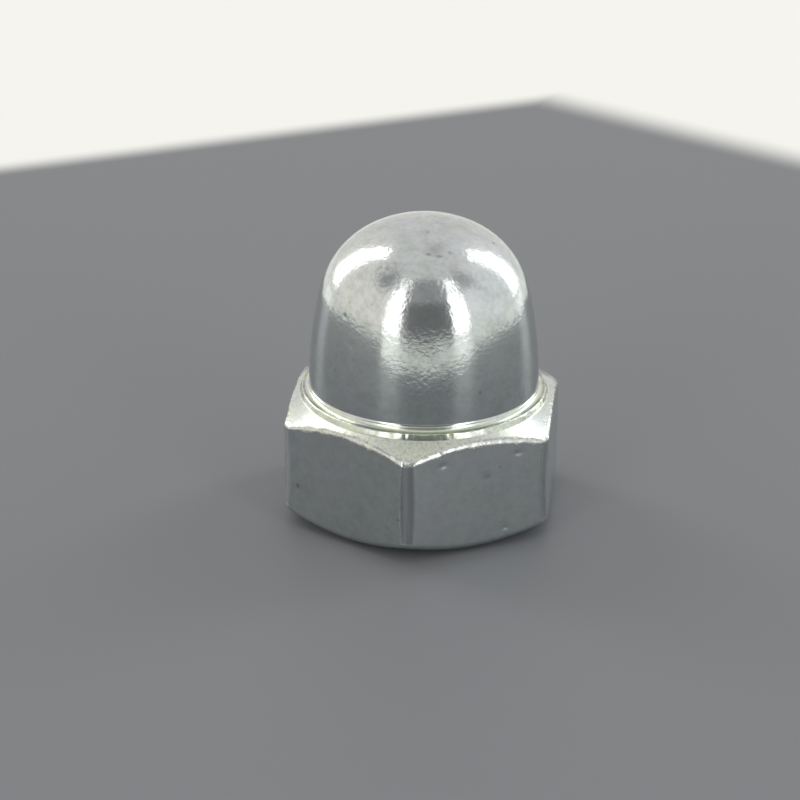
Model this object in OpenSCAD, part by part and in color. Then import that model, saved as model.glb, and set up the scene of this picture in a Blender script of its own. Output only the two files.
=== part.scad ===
// Domed cap nut: a hexagon chamfered at both ends, a low collar, a forged dome and a blind threaded bore.
// Millimetres. The bearing face lies on z = 0, the thread axis is +Z and two corners lie on Y.

/* [Hexagon] */
// Width across the flats
across_flats = 13; // [12:0.1:14.5]
// How far each corner is blunted at both ends, measured from the sharp corner towards the axis
corner_blunt = 0.155; // [0.02:0.005:0.3]
// How much further each corner is blunted at its waist, halfway up
corner_waist = 0.05; // [0.02:0.005:0.1]
// Height of the hexagon, from the bearing face to the foot of the collar
hex_h = 6.02; // [4.5:0.01:6.8]
// Slope of the chamfers at both ends of the hexagon, in degrees
chamfer_angle = 30; // [15:1:38]
// How far the rim of the bearing face lies inside the flats
bearing_inset = 0.6; // [0.1:0.05:0.8]

/* [Collar] */
// How far the collar stands inside the flats
collar_inset = 0.35; // [0.1:0.05:0.6]
// Height of the collar above the chamfer
collar_h = 0.28; // [0.18:0.01:0.6]
// Radius of the collar's rounded rim
rim_r = 0.08; // [0.03:0.01:0.12]
// Width of the ledge between the collar's rim and the dome
ledge_w = 0.46; // [0.4:0.01:0.8]
// Radius of the fillet between the ledge and the dome
fillet_r = 0.2; // [0.1:0.01:0.25]

/* [Dome] */
// Height of the whole nut
total_h = 15.03; // [13.8:0.01:16]
// Turn of the gently curved flank, in degrees from upright
flank_turn = 13; // [8:1:20]
// Slope at which the knuckle passes into the crown, in degrees from upright
crown_start = 60; // [45:1:70]
// Distance of the knuckle's centre from the axis: the larger it is, the flatter the crown
crown_spread = 0.785; // [0.2:0.005:1.5]

/* [Threaded bore] */
// Nominal diameter of the thread
thread_d = 8; // [6:0.5:8.5]
// Pitch of the thread
pitch = 1.25; // [0.75:0.25:1.5]
// How far the countersink at the mouth is wider than the thread, on the diameter
mouth_over = 0.4; // [0.2:0.1:1]
// Slope of the countersink, in degrees from the bearing face
mouth_angle = 45; // [30:5:60]
// Full angle of the drill point at the blind end
point_angle = 118; // [100:1:140]
// Thickness of the crown over the drill point
crown_wall = 1.8; // [1.2:0.1:2.5]

/* [Hidden] */
$fn = 96;

// Height of a thread's flank triangle that is cut away from a nut, as a share of the pitch
flank_share = 5 / 8 * sqrt(3);
// Reach of cutting tools past the surface that they cut
past = 1;
// How far the knuckle stands proud of flank and crown, so that its arc crosses theirs cleanly
proud = 0.002;

// Radii of the hexagon's blank
sharp_corner_r = across_flats / sqrt(3);
corner_r = sharp_corner_r - corner_blunt;
bearing_r = across_flats / 2 - bearing_inset;
collar_r = across_flats / 2 - collar_inset;
foot_chamfer_h = (corner_r - bearing_r) * tan(chamfer_angle);
head_chamfer_h = (corner_r - collar_r) * tan(chamfer_angle);
ledge_z = hex_h + collar_h;

// The corners are blunted along a wide hollow arc that ends where it meets the two chamfers
corner_h = hex_h - head_chamfer_h - foot_chamfer_h;
waist_r = (pow(corner_h / 2, 2) + pow(corner_waist, 2)) / (2 * corner_waist);
waist_centre = [corner_r - corner_waist + waist_r, foot_chamfer_h + corner_h / 2];
// Edge in which the two chamfers would meet if nothing were blunted
edge_r = (hex_h / tan(chamfer_angle) + bearing_r + collar_r) / 2;
edge_z = (edge_r - bearing_r) * tan(chamfer_angle);

// The dome's arch has three arcs: flank, knuckle and crown, each tangent to the next.
// The flank leaves the fillet upright and the crown's centre lies on the axis, which settles their radii.
dome_r = collar_r - ledge_w;
dome_z = ledge_z + fillet_r;
arch_w = dome_r - crown_spread;
arch_h = total_h - dome_z - crown_spread * (1 - sin(crown_start)) / cos(crown_start);
arch_det = cos(flank_turn) * sin(flank_turn) - (1 - cos(flank_turn)) * (1 - sin(flank_turn));
flank_r = (arch_h * cos(flank_turn) - arch_w * (1 - sin(flank_turn))) / arch_det;
knuckle_r = (arch_w * sin(flank_turn) - arch_h * (1 - cos(flank_turn))) / arch_det;
crown_r = knuckle_r + crown_spread / cos(crown_start);
flank_centre = [dome_r - flank_r, dome_z];
knuckle_centre = [crown_spread, dome_z + (flank_r - knuckle_r) * sin(flank_turn)];
crown_centre = [0, total_h - crown_r];

// Bore at the thread's minor diameter
bore_r = thread_d / 2 - flank_share * pitch / 2;
mouth_r = (thread_d + mouth_over) / 2;
mouth_h = (mouth_r - bore_r) * tan(mouth_angle);
point_h = bore_r / tan(point_angle / 2);
bore_h = total_h - crown_wall - point_h;

// Band of a disc between two heights, on the right of the axis
module band(centre, radius, from, to) {
    intersection() {
        translate(centre) circle(r = radius);
        translate([0, from]) square([centre.x + radius + past, to - from]);
    }
}

// Half section of the hexagon's blank and the collar, with hollow corners and a rounded rim
module hexagon_section() {
    difference() {
        polygon([
            [0, 0],
            [bearing_r, 0],
            [edge_r, edge_z],
            [collar_r, hex_h],
            [collar_r, ledge_z - rim_r],
            [collar_r - rim_r, ledge_z],
            [0, ledge_z]
        ]);
        translate(waist_centre) circle(r = waist_r);
    }
    translate([collar_r - rim_r, ledge_z - rim_r]) circle(r = rim_r);
}

// Concave fillet where the dome rises from the ledge
module fillet_section() {
    difference() {
        translate([0, hex_h]) square([dome_r + fillet_r, dome_z - hex_h]);
        translate([dome_r + fillet_r, dome_z]) circle(r = fillet_r);
    }
}

// Half section of the dome: flank, knuckle and crown, each reaching into the next
module dome_section() {
    flank_top = flank_centre.y + flank_r * sin(flank_turn);
    crown_foot = crown_centre.y + crown_r * sin(crown_start);
    band(flank_centre, flank_r, hex_h, flank_top);
    band(knuckle_centre, knuckle_r + proud, knuckle_centre.y, total_h);
    band(crown_centre, crown_r, crown_foot, total_h + past);
}

// The blank before the flats are cut: everything that is round about the axis
module round_blank() {
    rotate_extrude() {
        hexagon_section();
        fillet_section();
        dome_section();
    }
}

// Blind bore with its countersunk mouth and drill point
module bore() {
    rotate_extrude() polygon([
        [0, -past],
        [mouth_r + past / tan(mouth_angle), -past],
        [bore_r, mouth_h],
        [bore_r, bore_h],
        [0, bore_h + point_h]
    ]);
}

module cap_nut() {
    color("silver") difference() {
        intersection() {
            rotate(30) cylinder(r = sharp_corner_r, h = total_h + past, $fn = 6);
            round_blank();
        }
        bore();
    }
}

cap_nut();
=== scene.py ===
"""Looks of a zinc-plated domed cap nut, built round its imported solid.

The nut's outside and bore are one closed mesh, and its thread is a helical ridge laid into the bore.
Sizes of the nut and the camera's place are in millimetres, and those of the floor and lamps in metres.
"""

import logging
import math
from collections.abc import Iterable
from dataclasses import dataclass, field
from enum import Enum, auto
from typing import Any

import bpy
import numpy as np
from bpy.types import Material, Node, NodeSocket, NodeTree, Object
from mathutils import Matrix, Vector


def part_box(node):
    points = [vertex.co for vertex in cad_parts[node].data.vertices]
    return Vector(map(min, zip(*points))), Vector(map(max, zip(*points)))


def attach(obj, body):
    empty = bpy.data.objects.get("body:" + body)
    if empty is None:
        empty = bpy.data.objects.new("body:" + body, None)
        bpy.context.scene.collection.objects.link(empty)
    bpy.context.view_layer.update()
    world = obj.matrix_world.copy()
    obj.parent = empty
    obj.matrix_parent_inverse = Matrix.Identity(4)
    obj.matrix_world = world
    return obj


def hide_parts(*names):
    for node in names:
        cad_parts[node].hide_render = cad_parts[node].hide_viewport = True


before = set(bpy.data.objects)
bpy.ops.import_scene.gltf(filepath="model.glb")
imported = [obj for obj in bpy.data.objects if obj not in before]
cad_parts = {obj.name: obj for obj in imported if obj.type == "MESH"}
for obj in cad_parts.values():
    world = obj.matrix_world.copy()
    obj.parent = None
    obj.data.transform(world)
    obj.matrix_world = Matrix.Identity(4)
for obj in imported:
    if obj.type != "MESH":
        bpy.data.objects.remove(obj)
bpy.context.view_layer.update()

LOG = logging.getLogger("cap_nut")
NODE = "cap_nut"
BODY = "root"
MM = 0.001
CORNERS = 6
HALF_SIDE = math.pi / CORNERS

SOCKETS = {
    "Vector": "Vector", "Along": "Vector", "Color": "Color", "Tint": "Color", "Geometry": "Geometry"}

Array = np.ndarray
Sizes = float | np.ndarray
Colour = tuple[float, float, float]
Span = tuple[float, float]


class Zone(Enum):
    """Stretches of the nut's half section, from the crown to the drill point."""

    DOME = auto()
    RING = auto()
    CHAMFER = auto()
    HEAD_EDGE = auto()
    FLAT = auto()
    FOOT_EDGE = auto()
    FOOT = auto()
    BEARING = auto()
    BORE = auto()


class Wear(str, Enum):
    """Names of the values that a piece's points carry for its finish."""

    EDGE = "edge_wear"
    RING = "ring_tint"
    FLAT = "flat_face"
    STRIP = "corner_strip"
    CROWN = "crown_frost"
    # Painted shade with dirt along the collar's rim and at its step's foot, together with the stains of
    # the marks.
    DIRT_AND_SHADE = "stain"


@dataclass(frozen=True)
class Ripple:
    """Random values round the nut: their number, their seed, the least of them and the span above it."""

    cells: int
    seed: int
    least: float
    span: float

    def at(self, angle: Array) -> Array:
        """Works out values that vary smoothly and meet after a full turn.

        Args:
            angle: Angles round the axis, in radians.

        Returns:
            One value for each angle.
        """
        knots = np.random.default_rng(self.seed).random(self.cells)
        place = angle / math.tau * self.cells
        first = np.floor(place).astype(int)
        share = place - first
        ease = share * share * (3 - 2 * share)
        value = knots[first % self.cells] * (1 - ease) + knots[(first + 1) % self.cells] * ease
        return self.least + self.span * value


def soft_min(one: Array, other: Array, blend: float) -> Array:
    """The smaller of two values, with the turn rounded where they differ by less than the blend."""
    near = np.maximum(blend - np.abs(one - other), 0) / blend
    return np.minimum(one, other) - near * near * blend / 4


def unit(vectors: Array) -> Array:
    """The same directions with length one."""
    return vectors / np.linalg.norm(vectors, axis=-1, keepdims=True)


def bell(value: Array) -> Array:
    """1 at nought, falling smoothly to both sides."""
    return np.exp(-value * value)


def add_object(name: str, data: Any) -> Object:
    """Puts an object into the scene.

    Args:
        name: The object's name.
        data: Its mesh, camera or lamp.

    Returns:
        The new object.
    """
    made = bpy.data.objects.new(name, data)
    bpy.context.scene.collection.objects.link(made)
    return made


class Graph:
    """Adds and links the nodes of one node tree."""

    def __init__(self, tree: NodeTree) -> None:
        """Takes the tree to fill, and empties it."""
        self.tree = tree
        tree.nodes.clear()

    def add(self, kind: str, inputs: dict[Any, Any] | None = None, **settings: Any) -> Node:
        """Adds a node, sets it up and links its inputs.

        Args:
            kind: The node's type name.
            inputs: Values, sockets or nodes for the node's inputs, by name or number.
            **settings: The node's own properties.

        Returns:
            The new node.
        """
        node = self.tree.nodes.new(kind)
        for name, value in settings.items():
            setattr(node, name, value)
        for key, value in (inputs or {}).items():
            socket = node.inputs[key]
            source = value.outputs[0] if isinstance(value, Node) else value
            if isinstance(source, NodeSocket):
                self.tree.links.new(source, socket)
            else:
                socket.default_value = (*source, 1.0) if socket.type == "RGBA" else source
        return node

    def math(self, operation: str, *values: Any, clamp: bool = False) -> NodeSocket:
        """The result of a Math node on numbers or sockets, kept from 0 to 1 if clamped."""
        node = self.add("ShaderNodeMath", dict(enumerate(values)), operation=operation, use_clamp=clamp)
        return node.outputs[0]

    def ease(self, value: Any, low: float, high: float) -> NodeSocket:
        """Rises smoothly from 0 to 1 between two values."""
        inputs = {"Value": value, "From Min": low, "From Max": high}
        return self.add("ShaderNodeMapRange", inputs, interpolation_type="SMOOTHSTEP").outputs[0]

    def mix(self, share: Any, one: Any, other: Any) -> NodeSocket:
        """Mixes two colours by the share of the second."""
        node = self.add("ShaderNodeMix", {0: share, 6: one, 7: other}, data_type="RGBA")
        return node.outputs[2]

    def noise(self, vector: Any, scale: Any, detail: float = 2.0) -> NodeSocket:
        """Values of a Noise Texture, from 0 to 1; the scale is in cells to the metre."""
        inputs = {"Vector": vector, "Scale": scale, "Detail": detail}
        return self.add("ShaderNodeTexNoise", inputs).outputs[0]

    def group(self, tree: NodeTree, inputs: dict[str, Any]) -> Node:
        """Places a shared node group with its own values."""
        return self.add("ShaderNodeGroup", inputs, node_tree=tree)


def start_group(
    name: str, inputs: Iterable[str], outputs: Iterable[str], kind: str = "ShaderNodeTree",
) -> tuple[Graph, Any]:
    """Starts a node group, with sockets for numbers unless their names stand for something else.

    Args:
        name: The group's name.
        inputs: Names of its inputs.
        outputs: Names of its outputs.
        kind: The type name of its tree.

    Returns:
        The group's graph and the sockets of its input node.
    """
    tree = bpy.data.node_groups.new(name, kind)
    for way, labels in (("INPUT", inputs), ("OUTPUT", outputs)):
        for label in labels:
            socket = "NodeSocket" + SOCKETS.get(label, "Float")
            tree.interface.new_socket(label, in_out=way, socket_type=socket)
    graph = Graph(tree)
    return graph, graph.add("NodeGroupInput").outputs


@dataclass
class Effects:
    """Node groups that the finishes share, with the limits between which their masks rise."""

    cloud_share: float = 0.8
    dot_share: float = 1.5
    mottle_rise: Span = (0.34, 0.70)
    chip_rise: Span = (0.35, 0.60)
    sparkle_rise: Span = (0.38, 0.58)
    speck_rise: Span = (0.74, 0.82)
    patch_scale: float = 900.0
    patch_rise: Span = (0.1, 0.8)

    def __post_init__(self) -> None:
        """Builds each group once."""
        self.grain = self._grain()
        self.lines = self._lines()
        self.tint = self._tint()
        self.specks = self._specks()

    def _grain(self) -> NodeTree:
        """Builds the plating's grain: fine speckle over a slower waviness.

        Returns:
            A group with a height, a mottle, and the chips and the sparkle of worn edges, all from 0 to 1.
        """
        graph, given = start_group(
            "plating_grain", ("Vector", "Fine", "Broad", "Speckle"),
            ("Height", "Mottle", "Chips", "Sparkle"))
        place, scale = given["Vector"], given["Fine"]
        fine, broad = graph.noise(place, scale), graph.noise(place, given["Broad"])
        cloud = graph.noise(place, graph.math("MULTIPLY", scale, self.cloud_share), 4.0)
        dots = graph.noise(place, graph.math("MULTIPLY", scale, self.dot_share), 1.0)
        mottle = graph.math("MULTIPLY", graph.math("ADD", cloud, broad), 0.5)
        graph.add("NodeGroupOutput", {
            "Height": graph.add("ShaderNodeMix", {0: given["Speckle"], 2: broad, 3: fine}),
            "Mottle": graph.ease(mottle, *self.mottle_rise),
            "Chips": graph.ease(fine, *self.chip_rise),
            "Sparkle": graph.ease(dots, *self.sparkle_rise),
        })
        return graph.tree

    def _specks(self) -> NodeTree:
        """Builds the sparse dark specks of dust and tiny pits.

        Returns:
            A group with a mask, from 0 to 1.
        """
        graph, given = start_group("dust_specks", ("Vector", "Scale"), ("Mask",))
        spots = graph.noise(given["Vector"], given["Scale"], 1.0)
        graph.add("NodeGroupOutput", {"Mask": graph.ease(spots, *self.speck_rise)})
        return graph.tree

    def _lines(self) -> NodeTree:
        """Builds fine tool marks that run one way.

        Returns:
            A group with the marks' height, from 0 to 1.
        """
        graph, given = start_group("tool_lines", ("Vector", "Along", "Scale"), ("Height",))
        inputs = {0: given["Vector"], 1: given["Along"]}
        drawn = graph.add("ShaderNodeVectorMath", inputs, operation="MULTIPLY")
        graph.add("NodeGroupOutput", {"Height": graph.noise(drawn, given["Scale"], 4.0)})
        return graph.tree

    def _tint(self) -> NodeTree:
        """Builds the patchy tint of the passivated layer.

        Returns:
            A group that lays a tint over a colour.
        """
        graph, given = start_group("passivated_tint", ("Color", "Tint", "Amount", "Vector"), ("Color",))
        cloud = graph.noise(given["Vector"], self.patch_scale, 3.0)
        share = graph.math("MULTIPLY", given["Amount"], graph.ease(cloud, *self.patch_rise), clamp=True)
        graph.add("NodeGroupOutput", {"Color": graph.mix(share, given["Color"], given["Tint"])})
        return graph.tree


@dataclass(frozen=True)
class Coat:
    """Nodes that the parts of a material share: coordinates, wear, grain and tool marks both ways."""

    graph: Graph
    effects: Effects
    place: NodeSocket
    worn: dict[Wear, NodeSocket]
    grain: Any
    drawn: Node
    turned: Node


@dataclass(frozen=True)
class PlateFinish:
    """A zinc-plated finish with its grain, tool marks, tint and wear."""

    name: str
    colour: Colour
    tint: Colour = (0.685, 0.76, 0.61)
    edge_colour: Colour = (0.70, 0.72, 0.64)
    rubbed_colour: Colour = (0.43, 0.455, 0.42)
    strip_colour: Colour = (0.56, 0.585, 0.595)
    # Dark colour for stains, dust and the painted shade along the collar.
    stain_and_shade_colour: Colour = (0.13, 0.13, 0.14)
    lilac: Colour = (0.665, 0.66, 0.735)
    lilac_share: float = 0.35
    lilac_scale: float = 380.0
    lilac_rise: Span = (0.48, 0.68)
    overall_tint: float = 0.25
    roughness: float = 0.10
    wear_roughness: tuple[tuple[Wear, float], ...] = (
        (Wear.RING, 0.08), (Wear.FLAT, 0.09), (Wear.STRIP, 0.09), (Wear.CROWN, 0.03), (Wear.EDGE, 0.25))
    grain_size: float = 0.20
    wave_size: float = 0.70
    grain_depth: float = 0.019
    flank_grain: float = 0.35
    flat_calm: float = 0.4
    speckle: float = 0.6
    mottle: float = 0.26
    calm_mottle: float = 0.7
    mottle_roughness: float = 0.25
    chipped: float = 0.6
    edge_grain: float = 0.6
    line_depth: float = 0.0012
    line_stretch: float = 0.02
    drawn_scale: float = 6000.0
    turned_scale: float = 9000.0
    streak_rise: Span = (0.35, 0.62)
    streak_shades: Span = (0.8, 1.1)
    speck_size: float = 0.30
    speck_stain: float = 0.45

    def material(self, effects: Effects) -> Material:
        """Builds the finish as a material.

        Args:
            effects: The shared node groups.

        Returns:
            The material.
        """
        made = bpy.data.materials.new(self.name)
        made.use_nodes = True
        graph = Graph(made.node_tree)
        place = graph.add("ShaderNodeTexCoord").outputs["Object"]
        worn = {wear: graph.add("ShaderNodeAttribute", attribute_name=wear.value).outputs["Fac"]
                for wear in Wear}
        grain = graph.group(effects.grain, {
            "Vector": place, "Fine": 1 / (self.grain_size * MM), "Broad": 1 / (self.wave_size * MM),
            "Speckle": self.speckle}).outputs
        chips = graph.math("MULTIPLY_ADD", grain["Chips"], self.chipped, 1 - self.chipped)
        worn[Wear.EDGE] = graph.math("MULTIPLY", worn[Wear.EDGE], chips)
        long = self.line_stretch
        drawn = graph.group(effects.lines, {
            "Vector": place, "Along": (1.0, 1.0, long), "Scale": self.drawn_scale})
        turned = graph.group(effects.lines, {
            "Vector": place, "Along": (long, long, 1.0), "Scale": self.turned_scale})
        coat = Coat(graph, effects, place, worn, grain, drawn, turned)
        shader = graph.add("ShaderNodeBsdfPrincipled", {
            "Base Color": self._colour(coat), "Roughness": self._roughness(coat), "Metallic": 1.0,
            "Normal": self._normal(coat)})
        graph.add("ShaderNodeOutputMaterial", {"Surface": shader})
        return made

    def _colour(self, coat: Coat) -> NodeSocket:
        """Mixes the plate's colour with its tint, worn edges, dull corners, stains and painted shade.

        Args:
            coat: The material's shared nodes.

        Returns:
            The colour.
        """
        graph, worn, place = coat.graph, coat.worn, coat.place
        cloudy = tuple((1 - self.mottle) * part for part in self.colour)
        lively = graph.math("MAXIMUM", worn[Wear.CROWN], worn[Wear.RING], clamp=True)
        strength = graph.math("MULTIPLY_ADD", lively, 1 - self.calm_mottle, self.calm_mottle)
        share = graph.math("MULTIPLY", coat.grain["Mottle"], strength)
        colour = graph.mix(share, self.colour, cloudy)
        bloom = graph.ease(graph.noise(place, self.lilac_scale, 1.0), *self.lilac_rise)
        colour = graph.mix(graph.math("MULTIPLY", bloom, self.lilac_share), colour, self.lilac)
        amount = graph.math("ADD", worn[Wear.RING], self.overall_tint)
        tinted = graph.group(coat.effects.tint, {
            "Color": colour, "Tint": self.tint, "Amount": amount, "Vector": place})
        dull, clean = (tuple(shade * part for part in self.strip_colour) for shade in self.streak_shades)
        strip = graph.mix(graph.ease(coat.drawn, *self.streak_rise), dull, clean)
        colour = graph.mix(worn[Wear.STRIP], tinted, strip)
        edge = graph.mix(coat.grain["Sparkle"], self.rubbed_colour, self.edge_colour)
        colour = graph.mix(worn[Wear.EDGE], colour, edge)
        specks = graph.group(coat.effects.specks, {"Vector": place, "Scale": 1 / (self.speck_size * MM)})
        dust = graph.math("MULTIPLY", specks, self.speck_stain)
        # Stains, dust specks and the painted shade along the collar darken the colour.
        return graph.mix(graph.math("MAXIMUM", worn[Wear.DIRT_AND_SHADE], dust), colour, self.stain_and_shade_colour)

    def _roughness(self, coat: Coat) -> NodeSocket:
        """Adds up the roughness of the plate and of its worn places.

        Args:
            coat: The material's shared nodes.

        Returns:
            The roughness.
        """
        cloudy = self.mottle * self.mottle_roughness
        rough = coat.graph.math("MULTIPLY_ADD", coat.grain["Mottle"], cloudy, self.roughness)
        for wear, amount in self.wear_roughness:
            rough = coat.graph.math("MULTIPLY_ADD", coat.worn[wear], amount, rough)
        return rough

    def _normal(self, coat: Coat) -> Node:
        """Bumps the surface with its grain and its tool marks, drawn on the flats and turned elsewhere.

        Args:
            coat: The material's shared nodes.

        Returns:
            The node that gives the normal.
        """
        graph, worn = coat.graph, coat.worn
        share = graph.math("MAXIMUM", worn[Wear.FLAT], worn[Wear.STRIP])
        lines = graph.add("ShaderNodeMix", {0: share, 2: coat.turned, 3: coat.drawn})
        first = graph.add("ShaderNodeBump", {
            "Strength": 1.0, "Distance": self.line_depth * MM, "Height": lines})
        lively = graph.math("MULTIPLY_ADD", worn[Wear.CROWN], 1 - self.flank_grain, self.flank_grain)
        calm = graph.math("MULTIPLY", lively, graph.math("MULTIPLY_ADD", share, -self.flat_calm, 1.0))
        calm = graph.math("MULTIPLY_ADD", worn[Wear.EDGE], self.edge_grain, calm)
        return graph.add("ShaderNodeBump", {
            "Strength": calm, "Distance": self.grain_depth * MM, "Height": coat.grain["Height"],
            "Normal": first})


@dataclass(frozen=True)
class Mark:
    """A pit, a nick or a dull patch: its place, width and depth, how dark it is and how drawn out."""

    azimuth: float
    height: float
    width: float
    depth: float
    stain: float = 0.0
    stretch: float = 1.0


@dataclass
class Turn:
    """A turn of the section: its place, its rounding, and the rows on it and on the run up to it."""

    r: Sizes
    z: Sizes
    zone: Zone
    radius: Sizes = 0.0
    arc_rows: int = 2
    run_rows: int = 0
    run_zone: Zone | None = None


@dataclass
class Section:
    """Half sections of the nut, one for each column of its mesh, row by row."""

    columns: int
    gather: float = 0.8
    rows: list[Array] = field(default_factory=list)
    zones: list[Zone] = field(default_factory=list)

    def add(self, points: Array, zone: Zone) -> None:
        """Adds one row of points, given as radius and height."""
        self.rows.append(np.broadcast_to(points, (self.columns, 2)))
        self.zones.append(zone)

    def arc(self, centre: Span, radius: float, start: float, end: float, rows: int) -> None:
        """Adds rows on an arc of the dome between two angles in degrees, without the first point."""
        for angle in np.radians(np.linspace(start, end, rows + 1)[1:]):
            self.add(np.array(centre) + radius * np.array([math.cos(angle), math.sin(angle)]), Zone.DOME)

    def run(self, start: Array, end: Array, rows: int, zone: Zone) -> None:
        """Adds rows between two points, closer together near both ends.

        Args:
            start: Where the run starts, which is not added.
            end: Where it ends, which is not added.
            rows: Number of rows.
            zone: The rows' zone.
        """
        for share in np.linspace(0, 1, rows + 2)[1:-1]:
            eased = share - self.gather * math.sin(math.tau * share) / math.tau
            self.add(start + (end - start) * eased, zone)

    def follow(self, turns: list[Turn]) -> None:
        """Follows straight runs with rounded turns between the first turn and the last.

        Args:
            turns: The turns in order; the first and the last are plain ends, which are not added.
        """
        shape = (self.columns,)
        points = [np.stack([np.broadcast_to(t.r, shape), np.broadcast_to(t.z, shape)], 1) for t in turns]
        leave = points[0]
        for before, point, after, turn in zip(points, points[1:], points[2:], turns[1:]):
            ahead, onward = unit(point - before), unit(after - point)
            cross = ahead[:, 0] * onward[:, 1] - ahead[:, 1] * onward[:, 0]
            bend = np.arctan2(cross, (ahead * onward).sum(1))
            radius = np.broadcast_to(turn.radius, shape)[:, None]
            start = point - ahead * radius * np.tan(np.abs(bend) / 2)[:, None]
            inward = np.stack([-ahead[:, 1], ahead[:, 0]], 1) * np.sign(bend)[:, None]
            across = np.stack([inward[:, 1], -inward[:, 0]], 1)
            self.run(leave, start, turn.run_rows, turn.run_zone or turn.zone)
            for share in np.linspace(0, 1, turn.arc_rows):
                cos, sin = np.cos(bend * share)[:, None], np.sin(bend * share)[:, None]
                leave = start + radius * (inward * (1 - cos) + across * sin)
                self.add(leave, turn.zone)
        self.run(leave, points[-1], turns[-1].run_rows, turns[-1].zone)


@dataclass
class WearPattern:
    """How wear, tint, dirt and painted shade lie over the nut: one value for each point of its rows and
    columns.
    """

    nut: "CapNutBody"
    r: Array
    z: Array
    offset: Array
    angle: Array
    zones: Array
    tint_azimuth: float = -90.0
    tint_power: int = 4
    step_power: int = 6
    ring_tint: float = 1.1
    chamfer_calm: float = 0.6
    frost_z: float = 10.5
    frost_blend: float = 3.0
    front_azimuth: float = -83.66
    front_spread: float = 20.0
    front_z: float = 7.0
    front_blend: float = 1.5
    front_frost: float = 0.8
    strip_edge: float = 0.3
    strip_steepness: float = 4.0
    strip_wear: Span = (0.8, 0.1)
    chip_length: float = 3.0
    rubbed_behind: float = 0.05
    step_drop: float = 0.05
    # Where the painted shade with dirt lies: a line along the collar's rim and a band at the step's foot.
    rim_shade_and_dirt_inset: float = 0.09
    rim_shade_and_dirt_width: float = 0.06
    foot_shade_and_dirt_h: float = 0.09
    foot_shade_and_dirt_blend: float = 0.05
    edge_ragged: Ripple = Ripple(260, 14, 0.4, 0.6)
    strip_chips: Ripple = Ripple(40, 15, 0.3, 0.7)
    step_teeth: Ripple = Ripple(260, 16, -2.0, 4.0)
    chamfer_rubbed: Ripple = Ripple(34, 19, 0.25, 0.55)
    ring_shade_and_dirt: Ripple = Ripple(140, 20, 0.35, 0.5)
    step_worn: Ripple = Ripple(60, 21, 0.15, 0.6)

    def __post_init__(self) -> None:
        """Works out how near each column is to the tinted side, and how far past a strip's edge."""
        turn = self.angle - math.radians(self.tint_azimuth)
        self.near = ((1 + np.cos(turn)) / 2) ** self.tint_power
        self.nearest = self.near ** self.step_power
        self.past = (np.abs(self.offset) - self.nut.strip_angle) / math.radians(self.strip_edge)

    def _rows(self, zone: Zone) -> Array:
        """1 on the rows of a zone and 0 elsewhere."""
        return (self.zones == zone.value)[:, None] * np.ones_like(self.r)

    def _edge(self) -> Array:
        """Wears the edges, the strips' sides, the chamfers and the collar's step.

        Returns:
            How worn each point is.
        """
        nut, ring, chamfer = self.nut, self._rows(Zone.RING), self._rows(Zone.CHAMFER)
        ragged = self.edge_ragged.at(self.angle)
        side = np.where(self.offset < 0, *self.strip_wear)
        chips = self.strip_chips.at(self.z / self.chip_length) * side
        to_edge = (nut.outline(self.offset, nut.corner_r) - self.r) / nut.edge_r
        rubbed = self.rubbed_behind + (1 - self.rubbed_behind) * self.near
        teeth = self.nearest * np.clip(self.step_teeth.at(self.angle), 0, 1)
        worn = (1 - self.nearest) * self.step_worn.at(self.angle)
        return np.max([
            self._rows(Zone.HEAD_EDGE) * ragged,
            self._rows(Zone.FLAT) * bell(self.past) * chips,
            chamfer * bell(to_edge) * ragged,
            chamfer * self.chamfer_rubbed.at(self.angle) * rubbed,
            ring * (self.z < nut.ledge_z - nut.rim_r / 2) * teeth,
            ring * (self.z < nut.ledge_z - self.step_drop) * worn,
        ], 0)

    def _shade_and_dirt(self) -> Array:
        """Paints shade with dirt along the collar's rim, and at its foot on the tinted side.

        Returns:
            How much painted shade and dirt each point takes.
        """
        nut, ring = self.nut, self._rows(Zone.RING)
        line = nut.collar_r - nut.collar_lean - self.rim_shade_and_dirt_inset
        # A dark line of painted shade with dirt along the ledge, just inside the collar's rim.
        rim = (self.z > nut.ledge_z - self.step_drop) * bell((self.r - line) / self.rim_shade_and_dirt_width)
        # A dark band of painted shade with dirt at the step's foot, mostly on the tinted side.
        low = np.clip((nut.hex_h + self.foot_shade_and_dirt_h - self.z) / self.foot_shade_and_dirt_blend, 0, 1)
        return ring * np.maximum(rim, low * self.nearest) * self.ring_shade_and_dirt.at(self.angle)

    def _crown(self) -> Array:
        """Frosts the crown, and the dome's front further down.

        Returns:
            How frosted each point is.
        """
        aside = np.degrees(np.angle(np.exp(1j * (self.angle - math.radians(self.front_azimuth)))))
        front = bell(aside / self.front_spread) * np.clip((self.z - self.front_z) / self.front_blend, 0, 1)
        high = np.clip((self.z - self.frost_z) / self.frost_blend, 0, 1)
        return self._rows(Zone.DOME) * np.maximum(high, self.front_frost * front)

    def values(self) -> dict[Wear, Array]:
        """Works out the values that the finish reads.

        Returns:
            Each point's values, by name.
        """
        flat, chamfer = self._rows(Zone.FLAT), self._rows(Zone.CHAMFER)
        strip = flat / (1 + np.exp(self.strip_steepness * self.past))
        return {
            Wear.EDGE: self._edge(),
            Wear.RING: self.ring_tint * self._rows(Zone.RING) + chamfer * self.near,
            Wear.FLAT: flat - strip + self.chamfer_calm * chamfer,
            Wear.STRIP: strip,
            Wear.CROWN: self._crown(),
            Wear.DIRT_AND_SHADE: self._shade_and_dirt(),
        }


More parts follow.
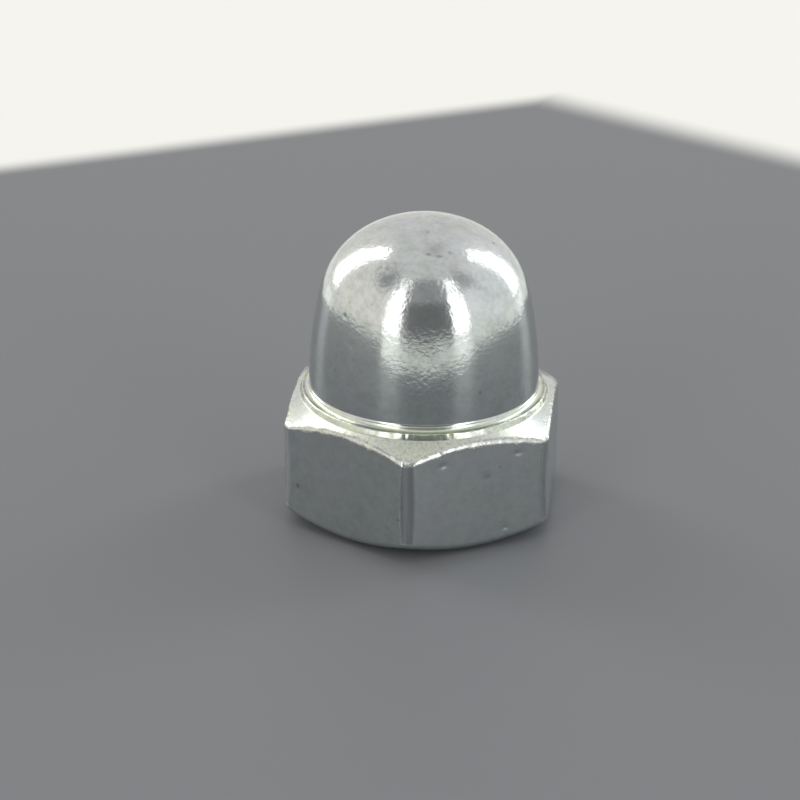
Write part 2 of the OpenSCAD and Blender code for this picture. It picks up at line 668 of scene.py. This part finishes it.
@dataclass
class CapNutBody:
    """The nut's outside and its bore, as one closed mesh."""

    across_flats: float
    total_h: float
    corner_blunt: float = 0.155
    corner_waist: float = 0.05
    hex_h: float = 6.02
    chamfer_angle: float = 30.0
    bearing_inset: float = 0.6
    collar_inset: float = 0.35
    collar_h: float = 0.28
    rim_r: float = 0.08
    ledge_w: float = 0.46
    fillet_r: float = 0.2
    flank_turn: float = 13.0
    crown_start: float = 60.0
    crown_spread: float = 0.785
    mouth_r: float = 4.2
    root_r: float = 4.0
    bore_r: float = 3.3234
    run_out_z: float = 10.0
    point_angle: float = 118.0
    crown_wall: float = 1.8
    collar_lean: float = 0.11
    edge_r: float = 0.35
    foot_edge_r: float = 0.35
    strip_blend: float = 0.03
    foot_r: float = 0.08
    step_foot_r: float = 0.05
    mouth_edge_r: float = 0.04
    bore_edge_r: float = 0.03
    head_ragged: tuple[Ripple, Ripple] = (Ripple(110, 11, 0.6, 0.56), Ripple(300, 12, 0.0, 0.24))
    collar_ragged: tuple[Ripple, Ripple] = (Ripple(90, 17, 0.7, 0.3), Ripple(230, 18, 0.0, 0.4))
    rim_ragged: Ripple = Ripple(180, 13, 0.4, 1.1)
    strip_columns: int = 4
    edge_columns: int = 7
    flat_columns: int = 29
    dome_rows: tuple[int, int, int] = (20, 28, 30)
    edge_reach: float = 0.45
    flat_gather: float = 1.15
    mark_fall: float = 1.6
    marks: tuple[Mark, ...] = (
        Mark(-3.7, 14.01, 0.12, 0.02, 0.9),
        Mark(-79.0, 14.85, 0.10, 0.012, 0.5),
        Mark(-131.8, 11.41, 0.14, 0.02, 0.8),
        Mark(-143.7, 2.38, 0.10, 0.02, 0.9),
        Mark(-117.3, 13.68, 0.16, 0.015, 0.3),
        Mark(-81.3, 14.31, 0.13, 0.012, 0.7, 1.8),
        Mark(-70.6, 14.20, 0.12, 0.012, 0.6, 2.4),
        Mark(-60.4, 14.32, 0.11, 0.010, 0.45, 1.6),
        Mark(-112.6, 13.66, 0.20, 0.012, 0.35, 1.4),
        Mark(-107.8, 13.95, 0.13, 0.012, 0.35, 1.2),
        Mark(-76.0, 4.96, 0.16, 0.06, 0.0, 1.7),
        Mark(-42.1, 4.93, 0.15, 0.05, 0.0, 1.8),
        Mark(-46.6, 1.05, 0.16, 0.06, 0.0, 0.8),
        Mark(-55.4, 3.93, 0.22, 0.03, 0.35, 1.5),
        Mark(-124.4, 10.08, 0.12, 0.02, 0.0, 1.8),
        Mark(-74.5, 14.41, 0.5, 0.0, 0.28, 1.6),
        Mark(-81.4, 13.85, 0.45, 0.0, 0.18, 0.7),
    )

    def __post_init__(self) -> None:
        """Works out the sizes that follow from the others."""
        self.apothem = self.across_flats / 2
        self.corner_r = self.apothem / math.cos(HALF_SIDE) - self.corner_blunt
        self.bearing_r = self.apothem - self.bearing_inset
        self.collar_r = self.apothem - self.collar_inset
        self.ledge_z = self.hex_h + self.collar_h
        self.dome_r = self.collar_r - self.ledge_w
        self.dome_z = self.ledge_z + self.fillet_r
        self.strip_angle = float(self._strip_angle(np.array(self.corner_r)))
        self.slope = math.tan(math.radians(self.chamfer_angle))
        self.point_h = self.bore_r / math.tan(math.radians(self.point_angle / 2))
        self.point_z = self.total_h - self.crown_wall

    def _strip_angle(self, corner_r: Array) -> Array:
        """Half the angle that a corner's blunted strip takes up, for the corner's radius there."""
        return HALF_SIDE - np.arccos(self.apothem / corner_r)

    def _columns(self) -> tuple[Array, Array]:
        """Places the mesh's columns, closest together at the edges of the corner strips.

        Returns:
            Each column's corner angle and its offset from that corner, in radians.
        """
        reach = math.radians(self.edge_reach)
        strip = np.linspace(0, self.strip_angle - reach, self.strip_columns)
        edge = np.linspace(self.strip_angle - reach, self.strip_angle + reach, self.edge_columns)[1:]
        shares = np.linspace(0, 1, self.flat_columns)[1:] ** self.flat_gather
        half = np.concatenate([strip, edge, edge[-1] + (HALF_SIDE - edge[-1]) * shares])
        offsets = np.concatenate([-half[:0:-1], half[:-1]])
        corners = HALF_SIDE + 2 * HALF_SIDE * np.arange(CORNERS)
        return np.repeat(corners, len(offsets)), np.tile(offsets, len(corners))

    def outline(self, offset: Array, corner_r: Sizes) -> Array:
        """Radius of the hexagon with blunted corners at an offset from a corner."""
        flat = self.apothem / np.cos(HALF_SIDE - np.abs(offset))
        return soft_min(flat, corner_r, self.strip_blend)

    def _dome(self, section: Section) -> None:
        """Adds the dome's three tangent arcs: crown, knuckle and flank.

        Args:
            section: The section to add to.
        """
        turn, start = math.radians(self.flank_turn), math.radians(self.crown_start)
        width = self.dome_r - self.crown_spread
        height = self.total_h - self.dome_z - self.crown_spread * (1 - math.sin(start)) / math.cos(start)
        det = math.cos(turn) * math.sin(turn) - (1 - math.cos(turn)) * (1 - math.sin(turn))
        flank_r = (height * math.cos(turn) - width * (1 - math.sin(turn))) / det
        knuckle_r = (width * math.sin(turn) - height * (1 - math.cos(turn))) / det
        crown_r = knuckle_r + self.crown_spread / math.cos(start)
        knuckle_z = self.dome_z + (flank_r - knuckle_r) * math.sin(turn)
        crown, knuckle, flank = self.dome_rows
        section.arc((0, self.total_h - crown_r), crown_r, 90, self.crown_start, crown)
        section.arc((self.crown_spread, knuckle_z), knuckle_r, self.crown_start, self.flank_turn, knuckle)
        section.arc((self.dome_r - flank_r, self.dome_z), flank_r, self.flank_turn, 0, flank)

    def _section(self, angle: Array, offset: Array) -> Section:
        """Draws the half section in every column.

        Args:
            angle: The columns' angles.
            offset: Their offsets from the nearest corner.

        Returns:
            The rows of points and their zones.
        """
        section = Section(len(angle))
        self._dome(section)
        outer = self.outline(offset, self.corner_r)
        head_r = self.edge_r * sum(ripple.at(angle) for ripple in self.head_ragged)
        lean = self.collar_lean * sum(ripple.at(angle) for ripple in self.collar_ragged)
        rim_r = self.rim_r * self.rim_ragged.at(angle)
        head_z = self.hex_h - (outer - self.collar_r) * self.slope
        foot_z = (outer - self.bearing_r) * self.slope
        run_out = self.run_out_z + (self.root_r - self.bore_r)
        section.follow([
            Turn(self.dome_r, self.dome_z, Zone.DOME),
            Turn(self.dome_r, self.ledge_z, Zone.RING, self.fillet_r, 7),
            Turn(self.collar_r - lean, self.ledge_z, Zone.RING, rim_r, 5, 3),
            Turn(self.collar_r, self.hex_h, Zone.RING, self.step_foot_r, 3, 2),
            Turn(outer, head_z, Zone.HEAD_EDGE, head_r, 7, 10, Zone.CHAMFER),
            Turn(outer, foot_z, Zone.FOOT_EDGE, self.foot_edge_r, 5, 44, Zone.FLAT),
            Turn(self.bearing_r, 0.0, Zone.FOOT, self.foot_r, 4, 5),
            Turn(self.mouth_r, 0.0, Zone.BEARING, self.mouth_edge_r, 3, 6),
            Turn(self.root_r, self.mouth_r - self.root_r, Zone.BORE, self.bore_edge_r, 3, 2),
            Turn(self.root_r, self.run_out_z, Zone.BORE, self.bore_edge_r, 2, 8),
            Turn(self.bore_r, run_out, Zone.BORE, self.bore_edge_r, 2, 2),
            Turn(self.bore_r, self.point_z - self.point_h, Zone.BORE, self.bore_edge_r, 3, 2),
            Turn(0.0, self.point_z, Zone.BORE, run_rows=6),
        ])
        return section

    def _hollow_corners(self, z: Array, offset: Array) -> tuple[Array, Array]:
        """Hollows the corner strips along their height, so that each is widest at its middle.

        Args:
            z: Heights of the rows on the flats.
            offset: Their offsets from the corners.

        Returns:
            The new radii and offsets.
        """
        top = self.hex_h - (self.corner_r - self.collar_r) * self.slope
        foot = (self.corner_r - self.bearing_r) * self.slope
        rise = np.clip((z - foot) / (top - foot), 0, 1)
        corner_r = self.corner_r - self.corner_waist * 4 * rise * (1 - rise)
        wide = self._strip_angle(corner_r)
        size = np.abs(offset)
        inside = size * wide / self.strip_angle
        outside = wide + (size - self.strip_angle) * (HALF_SIDE - wide) / (HALF_SIDE - self.strip_angle)
        moved = np.sign(offset) * np.where(size <= self.strip_angle, inside, outside)
        return self.outline(moved, corner_r), moved

    def _dent(self, points: Array, outside: int) -> Array:
        """Presses the marks into the outside.

        Args:
            points: The mesh's points by row and column, which are moved.
            outside: Number of rows that form the outside.

        Returns:
            How dark each point is, from 0 to 1.
        """
        across = np.roll(points, -1, 1) - np.roll(points, 1, 1)
        normals = unit(np.cross(np.gradient(points, axis=0), across))
        stain = np.zeros(points.shape[:2])
        shell = points[:outside].copy()
        turn = np.arctan2(shell[..., 1], shell[..., 0])
        for mark in self.marks:
            gap = np.angle(np.exp(1j * (turn - math.radians(mark.azimuth))))
            aside = gap * np.hypot(shell[..., 0], shell[..., 1])
            nearest = np.argmin(aside * aside + (shell[..., 2] - mark.height) ** 2)
            centre = shell.reshape(-1, 3)[nearest]
            around = np.array([-centre[1], centre[0], 0]) / np.hypot(centre[0], centre[1])
            away = shell - centre
            along = (away @ around)[..., None] * around
            away = away - along * (1 - 1 / mark.stretch)
            near = bell(np.linalg.norm(away, axis=-1) / mark.width * self.mark_fall)
            points[:outside] -= normals[:outside] * (near * mark.depth)[..., None]
            stain[:outside] = np.maximum(stain[:outside], near * mark.stain)
        return stain

    def build(self, finishes: list[Material]) -> Object:
        """Makes the body's mesh and dresses it.

        Args:
            finishes: The outside's finish and the bore's.

        Returns:
            The body's object.
        """
        corner, offset = self._columns()
        section = self._section(corner + offset, offset)
        rows = np.stack(section.rows)
        zones = np.array([zone.value for zone in section.zones])
        r, z = rows[..., 0].copy(), rows[..., 1]
        moved = np.tile(offset, (len(rows), 1))
        flat = zones == Zone.FLAT.value
        r[flat], moved[flat] = self._hollow_corners(z[flat], moved[flat])
        points = np.stack([r * np.cos(corner + moved), r * np.sin(corner + moved), z], -1)
        bore_row = int(np.argmax(zones == Zone.BORE.value))
        wear = WearPattern(self, r, z, offset, corner + offset, zones).values()
        wear[Wear.DIRT_AND_SHADE] = np.maximum(wear[Wear.DIRT_AND_SHADE], self._dent(points, bore_row))
        poles = np.array([[0, 0, self.total_h], [0, 0, self.point_z]])
        faces, first_bore = self._faces(len(rows), len(offset), bore_row)
        mesh = bpy.data.meshes.new(NODE)
        mesh.from_pydata(np.concatenate([points.reshape(-1, 3), poles]) * MM, [], faces)
        for finish in finishes:
            mesh.materials.append(finish)
        mesh.polygons.foreach_set("use_smooth", np.ones(len(faces), bool))
        mesh.polygons.foreach_set("material_index", (np.arange(len(faces)) >= first_bore).astype(np.int32))
        for name, values in wear.items():
            layer = mesh.attributes.new(name.value, "FLOAT", "POINT")
            layer.data.foreach_set("value", np.append(values.ravel(), [0, 0]).astype(np.float32))
        mesh.update()
        return add_object("cap_nut_body", mesh)

    @staticmethod
    def _faces(rows: int, columns: int, bore_row: int) -> tuple[list[tuple[int, ...]], int]:
        """Lists the faces from the crown's pole down the outside and up the bore to its point.

        Args:
            rows: Number of rows.
            columns: Number of columns.
            bore_row: First row of the bore.

        Returns:
            The faces and the number of the bore's first face.
        """
        here = list(range(columns))
        pairs = list(zip(here, here[1:] + here[:1]))
        last, crown, point = (rows - 1) * columns, rows * columns, rows * columns + 1
        faces = [(crown, a, b) for a, b in pairs]
        for up in range(0, last, columns):
            faces += [(up + a, up + columns + a, up + columns + b, up + b) for a, b in pairs]
        faces += [(last + a, point, last + b) for a, b in pairs]
        return faces, columns * bore_row


@dataclass
class InternalThread:
    """The nut's thread: a right-handed helical ridge on the wall of the bore."""

    root_r: float
    crest_r: float
    mouth_r: float
    end_z: float
    start_z: float = 0.3
    pitch: float = 1.25
    sunk: float = 0.03
    steps: int = 96
    lead: float = 0.4
    thinnest: float = 0.02
    crest_share: float = 0.25
    flank_angle: float = 30.0
    sharp_angle: float = 40.0

    def _tree(self, labels: Iterable[str], finish: Material) -> NodeTree:
        """Builds the tree that sweeps the ridge's section along the helix.

        Args:
            labels: Names of the sizes that it takes.
            finish: The ridge's material.

        Returns:
            The Geometry Nodes tree.
        """
        graph, given = start_group("internal_thread", labels, ("Geometry",), "GeometryNodeTree")
        helix = graph.add("GeometryNodeCurveSpiral", {
            "Resolution": self.steps, "Rotations": given["Turns"], "Start Radius": given["Root Radius"],
            "End Radius": given["Root Radius"], "Height": given["Rise"], "Reverse": True})
        upright = graph.add("GeometryNodeSetCurveNormal", {"Curve": helix}, mode="Z_UP")
        factor = graph.add("GeometryNodeSplineParameter").outputs["Factor"]
        to_end = graph.math("MINIMUM", factor, graph.math("SUBTRACT", 1.0, factor))
        taper = graph.math("DIVIDE", to_end, given["Lead"], clamp=True)
        sized = graph.add("GeometryNodeSetCurveRadius", {
            "Curve": upright, "Radius": graph.math("MAXIMUM", taper, self.thinnest)})
        profile = graph.add("GeometryNodeCurvePrimitiveQuadrilateral", {
            "Height": given["Depth"], "Bottom Width": given["Base Width"],
            "Top Width": given["Crest Width"], "Offset": 0.0}, mode="TRAPEZOID")
        inward = graph.add("ShaderNodeCombineXYZ", {"X": graph.math("MULTIPLY", given["Depth"], -0.5)})
        turned = graph.add("GeometryNodeTransform", {
            "Geometry": profile, "Translation": inward, "Rotation": (0.0, 0.0, math.pi / 2)})
        ridge = graph.add("GeometryNodeCurveToMesh", {
            "Curve": sized, "Profile Curve": turned, "Fill Caps": True})
        start = graph.add("ShaderNodeCombineXYZ", {"Z": given["Start"]})
        raised = graph.add("GeometryNodeTransform", {"Geometry": ridge, "Translation": start})
        point = graph.add("ShaderNodeSeparateXYZ", {0: graph.add("GeometryNodeInputPosition")}).outputs
        radius = graph.math("SQRT", graph.math("ADD", graph.math("POWER", point["X"], 2.0),
                                               graph.math("POWER", point["Y"], 2.0)))
        height = graph.math("MAXIMUM", point["Z"], self.sunk * MM)
        wide = graph.math("MAXIMUM", radius, graph.math("SUBTRACT", given["Mouth"], height))
        share = graph.math("DIVIDE", wide, radius)
        moved = graph.add("ShaderNodeCombineXYZ", {
            "X": graph.math("MULTIPLY", point["X"], share), "Y": graph.math("MULTIPLY", point["Y"], share),
            "Z": height})
        cut = graph.add("GeometryNodeSetPosition", {"Geometry": raised, "Position": moved})
        real = graph.add("GeometryNodeRealizeInstances", {"Geometry": cut})
        dressed = graph.add("GeometryNodeSetMaterial", {"Geometry": real, "Material": finish})
        graph.add("NodeGroupOutput", {"Geometry": dressed})
        return graph.tree

    def build(self, finish: Material) -> Object:
        """Makes the ridge as a plain mesh.

        Args:
            finish: The ridge's material.

        Returns:
            The ridge's object.
        """
        depth = self.root_r + self.sunk - self.crest_r
        crest = self.pitch * self.crest_share
        turns = (self.end_z - self.start_z) / self.pitch
        base = crest + 2 * depth * math.tan(math.radians(self.flank_angle))
        sizes = {
            "Root Radius": (self.root_r + self.sunk) * MM, "Turns": turns,
            "Rise": (self.end_z - self.start_z) * MM, "Depth": depth * MM,
            "Base Width": base * MM, "Crest Width": crest * MM,
            "Lead": self.lead / turns, "Start": self.start_z * MM, "Mouth": self.mouth_r * MM,
        }
        tree = self._tree(sizes, finish)
        blank = add_object("thread_helix", bpy.data.meshes.new("thread_helix"))
        modifier = blank.modifiers.new("internal_thread", "NODES")
        modifier.node_group = tree
        for item in tree.interface.items_tree:
            if item.in_out == "INPUT":
                modifier[item.identifier] = sizes[item.name]
        seen = blank.evaluated_get(bpy.context.evaluated_depsgraph_get())
        mesh = bpy.data.meshes.new_from_object(seen)
        bpy.data.objects.remove(blank)
        mesh.name = "thread_ridge"
        mesh.set_sharp_from_angle(angle=math.radians(self.sharp_angle))
        return add_object("thread_ridge", mesh)


@dataclass(frozen=True)
class Softbox:
    """An upright soft lamp: its place round the nut, its reach seen from there, and its brightness."""

    azimuth: float
    half_angle: float
    top_angle: float
    foot_angle: float
    radiance: float


@dataclass(frozen=True)
class SheetEdge:
    """A side edge of the grey sheet: its reach beside the nut, its lean, and its reach in front."""

    beside: float
    lean: float
    widest: float


@dataclass(frozen=True)
class TentPatch:
    """A darker patch of the tent, whose edges run from where it is nought to where it is full."""

    colour: Colour
    left: Span
    right: Span
    head: Span
    foot: Span = (-91, -90)
    strength: float = 1.0


@dataclass
class Studio:
    """Camera, floor, tent and lamps. Azimuths count from the camera's side, to its right."""

    view_azimuth: float = 6.34
    elevation: float = 24.09
    roll: float = 0.37
    distance: float = 149.2
    lens: float = 135.0
    clip: Span = (0.005, 20.0)
    aim_height: float = 5.41
    aim_left: float = 1.175
    floor_half: float = 2.0
    sheet_colour: Colour = (0.201, 0.213, 0.226)
    sheet_back: float = 0.034
    tail_half: float = 0.02155
    tail_shift: float = 0.00185
    tail_spread: float = 0.121
    card_near: float = 0.060
    card_far: float = 0.45
    card_left: float = 1.0
    card_right: float = 1.35
    left_edge: SheetEdge = SheetEdge(0.14, 2.4, 0.18)
    right_edge: SheetEdge = SheetEdge(0.088, 1.3, 0.105)
    sheet_blend: float = 0.008
    floor_colour: Colour = (0.89, 0.91, 0.87)
    floor_roughness: float = 0.42
    floor_gloss: float = 0.12
    lamp_distance: float = 0.4
    left_wall: Colour = (0.95, 0.89, 0.83)
    right_wall: Colour = (0.93, 0.91, 0.91)
    rear_wall: Colour = (0.80, 0.765, 0.75)
    top: Colour = (0.75, 0.725, 0.715)
    wall_turn: Span = (-60, 60)
    rear_turn: Span = (135, 165)
    top_rise: Span = (25, 75)
    patches: tuple[TentPatch, ...] = (
        TentPatch((0.36, 0.36, 0.36), (-92, -72), (-46, -60), (70, 57), (36, 48)),
        TentPatch((0.36, 0.36, 0.36), (46, 60), (92, 72), (70, 57), (36, 48), 0.8),
        TentPatch((0.36, 0.35, 0.355), (-25, -22), (31, 28), (70, 60)),
        TentPatch((0.19, 0.188, 0.19), (-25, -22), (31, 28), (36, 33)),
    )
    softboxes: tuple[Softbox, ...] = (
        Softbox(-128.5, 8.5, 57, 7.0, 3.0),
        Softbox(124.5, 8.5, 52, 3.0, 3.0),
        Softbox(-35, 8.5, 46, 2.0, 1.6),
        Softbox(39, 8.5, 44, 2.0, 1.6),
        Softbox(-34, 5, 62, 46, 1.25),
        Softbox(42, 5, 61, 44, 1.25),
    )

    def __post_init__(self) -> None:
        """Works out the directions from the nut to the camera's side and to the camera's right."""
        turn = math.radians(self.view_azimuth)
        self.front = Vector((math.sin(turn), -math.cos(turn), 0))
        self.right = Vector((math.cos(turn), math.sin(turn), 0))

    def camera(self) -> None:
        """Sets up the camera at the viewing angle."""
        rise, roll = math.radians(self.elevation), math.radians(self.roll)
        back = self.front * math.cos(rise) + Vector((0, 0, math.sin(rise)))
        up = back.cross(self.right)
        right = self.right * math.cos(roll) + up * math.sin(roll)
        up = back.cross(right)
        aim = Vector((0, 0, self.aim_height)) - right * self.aim_left
        data = bpy.data.cameras.new("camera")
        data.lens = self.lens
        data.clip_start, data.clip_end = self.clip
        camera = add_object("camera", data)
        place = Matrix((right, up, back)).transposed().to_4x4()
        place.translation = (aim + back * self.distance) * MM
        camera.matrix_world = place
        bpy.context.scene.camera = camera

    def _along(self, graph: Graph, vector: Any) -> tuple[Any, Any]:
        """How far a vector leads towards the camera's side, and how far to the camera's right."""
        parts = [graph.add("ShaderNodeVectorMath", {0: vector, 1: way}, operation="DOT_PRODUCT")
                 for way in (self.front, self.right)]
        return parts[0].outputs["Value"], parts[1].outputs["Value"]

    def floor(self) -> None:
        """Lays the floor: a grey sheet under the nut that passes softly into a pale ground."""
        mesh = bpy.data.meshes.new("floor")
        half = self.floor_half
        corners = [(-half, -half, 0), (half, -half, 0), (half, half, 0), (-half, half, 0)]
        mesh.from_pydata(corners, [], [(0, 1, 2, 3)])
        made = bpy.data.materials.new("floor_sheet")
        made.use_nodes = True
        graph = Graph(made.node_tree)
        ahead, aside = self._along(graph, graph.add("ShaderNodeTexCoord").outputs["Object"])
        behind = graph.math("MULTIPLY", ahead, -1.0)
        tail = graph.math("MULTIPLY_ADD", behind, self.tail_spread, self.tail_half)
        centred = graph.math("ABSOLUTE", graph.math("ADD", aside, self.tail_shift))
        beside = graph.math("SUBTRACT", centred, tail)
        within = graph.math("MINIMUM", graph.math("MULTIPLY_ADD", ahead, self.card_left, aside),
                            graph.math("SUBTRACT", graph.math("MULTIPLY", ahead, self.card_right), aside))
        card = graph.math("MINIMUM", graph.math("SUBTRACT", ahead, self.card_near),
                          graph.math("SUBTRACT", self.card_far, ahead))
        past = graph.math("MAXIMUM", graph.math("MINIMUM", card, within),
                          graph.math("MINIMUM", graph.math("SUBTRACT", behind, self.sheet_back), beside))
        for edge, way in ((self.left_edge, -1.0), (self.right_edge, 1.0)):
            leaning = graph.math("MULTIPLY_ADD", ahead, edge.lean, edge.beside)
            reach = graph.math("MINIMUM", leaning, edge.widest)
            outward = graph.math("MULTIPLY", aside, way)
            past = graph.math("MAXIMUM", past, graph.math("SUBTRACT", outward, reach))
        colour = graph.mix(graph.ease(past, 0.0, self.sheet_blend), self.sheet_colour, self.floor_colour)
        shader = graph.add("ShaderNodeBsdfPrincipled", {
            "Base Color": colour, "Roughness": self.floor_roughness,
            "Specular IOR Level": self.floor_gloss})
        graph.add("ShaderNodeOutputMaterial", {"Surface": shader})
        mesh.materials.append(made)
        add_object("floor", mesh)

    def tent(self) -> None:
        """Surrounds the nut with a pale tent, dimmer at the top and in its patches."""
        world = bpy.data.worlds.new("tent")
        world.use_nodes = True
        graph = Graph(world.node_tree)
        way = graph.add("ShaderNodeTexCoord").outputs["Generated"]
        ahead, aside = self._along(graph, way)
        height = graph.add("ShaderNodeSeparateXYZ", {0: way}).outputs["Z"]
        azimuth = graph.math("DEGREES", graph.math("ARCTAN2", aside, ahead))
        rise = graph.math("DEGREES", graph.math("ARCSINE", height))
        wall = graph.mix(graph.ease(azimuth, *self.wall_turn), self.left_wall, self.right_wall)
        turn = graph.math("ABSOLUTE", azimuth)
        wall = graph.mix(graph.ease(turn, *self.rear_turn), wall, self.rear_wall)
        colour = graph.mix(graph.ease(rise, *self.top_rise), wall, self.top)
        for patch in self.patches:
            share = patch.strength
            for edge in (patch.left, patch.right):
                share = graph.math("MULTIPLY", graph.ease(azimuth, *edge), share)
            for edge in (patch.foot, patch.head):
                share = graph.math("MULTIPLY", graph.ease(rise, *edge), share)
            colour = graph.mix(share, colour, patch.colour)
        shade = graph.add("ShaderNodeBackground", {"Color": colour, "Strength": 1.0})
        graph.add("ShaderNodeOutputWorld", {"Surface": shade})
        bpy.context.scene.world = world

    def lamps(self) -> None:
        """Stands the soft lamps round the nut."""
        for number, box in enumerate(self.softboxes):
            turn = math.radians(box.azimuth)
            away = self.front * math.cos(turn) + self.right * math.sin(turn)
            data = bpy.data.lights.new(f"softbox_{number}", "AREA")
            data.shape = "RECTANGLE"
            data.size = 2 * self.lamp_distance * math.tan(math.radians(box.half_angle))
            foot, top = (self.lamp_distance * math.tan(math.radians(rise))
                         for rise in (box.foot_angle, box.top_angle))
            data.size_y = top - foot
            data.energy = box.radiance * math.pi * data.size * data.size_y
            upright = Vector((0, 0, 1))
            place = Matrix((upright.cross(away), upright, away)).transposed().to_4x4()
            place.translation = away * self.lamp_distance + upright * ((top + foot) / 2)
            add_object(data.name, data).matrix_world = place

    def build(self) -> None:
        """Makes the whole studio."""
        self.camera()
        self.floor()
        self.tent()
        self.lamps()


def hand_over(piece: Object) -> None:
    """Lets a piece ride on the nut's body and reports it.

    Args:
        piece: The finished piece.
    """
    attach(piece, BODY)
    LOG.info("%s: %d faces", piece.name, len(piece.data.polygons))


def main() -> None:
    """Builds the nut and its studio in order."""
    logging.basicConfig(level=logging.INFO, format="%(name)s: %(message)s")
    bpy.context.scene.view_settings.view_transform = "Standard"
    low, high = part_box(NODE)
    effects = Effects()
    plate = PlateFinish("bright_zinc", (0.645, 0.695, 0.712)).material(effects)
    bore = PlateFinish("bore_zinc", (0.55, 0.56, 0.55), roughness=0.34).material(effects)
    nut = CapNutBody((high.x - low.x) / MM, high.z / MM)
    body = nut.build([plate, bore])
    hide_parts(NODE)
    hand_over(body)
    thread = InternalThread(nut.root_r, nut.bore_r, nut.mouth_r, nut.run_out_z)
    hand_over(thread.build(bore))
    Studio().build()


if __name__ == "__main__":
    main()
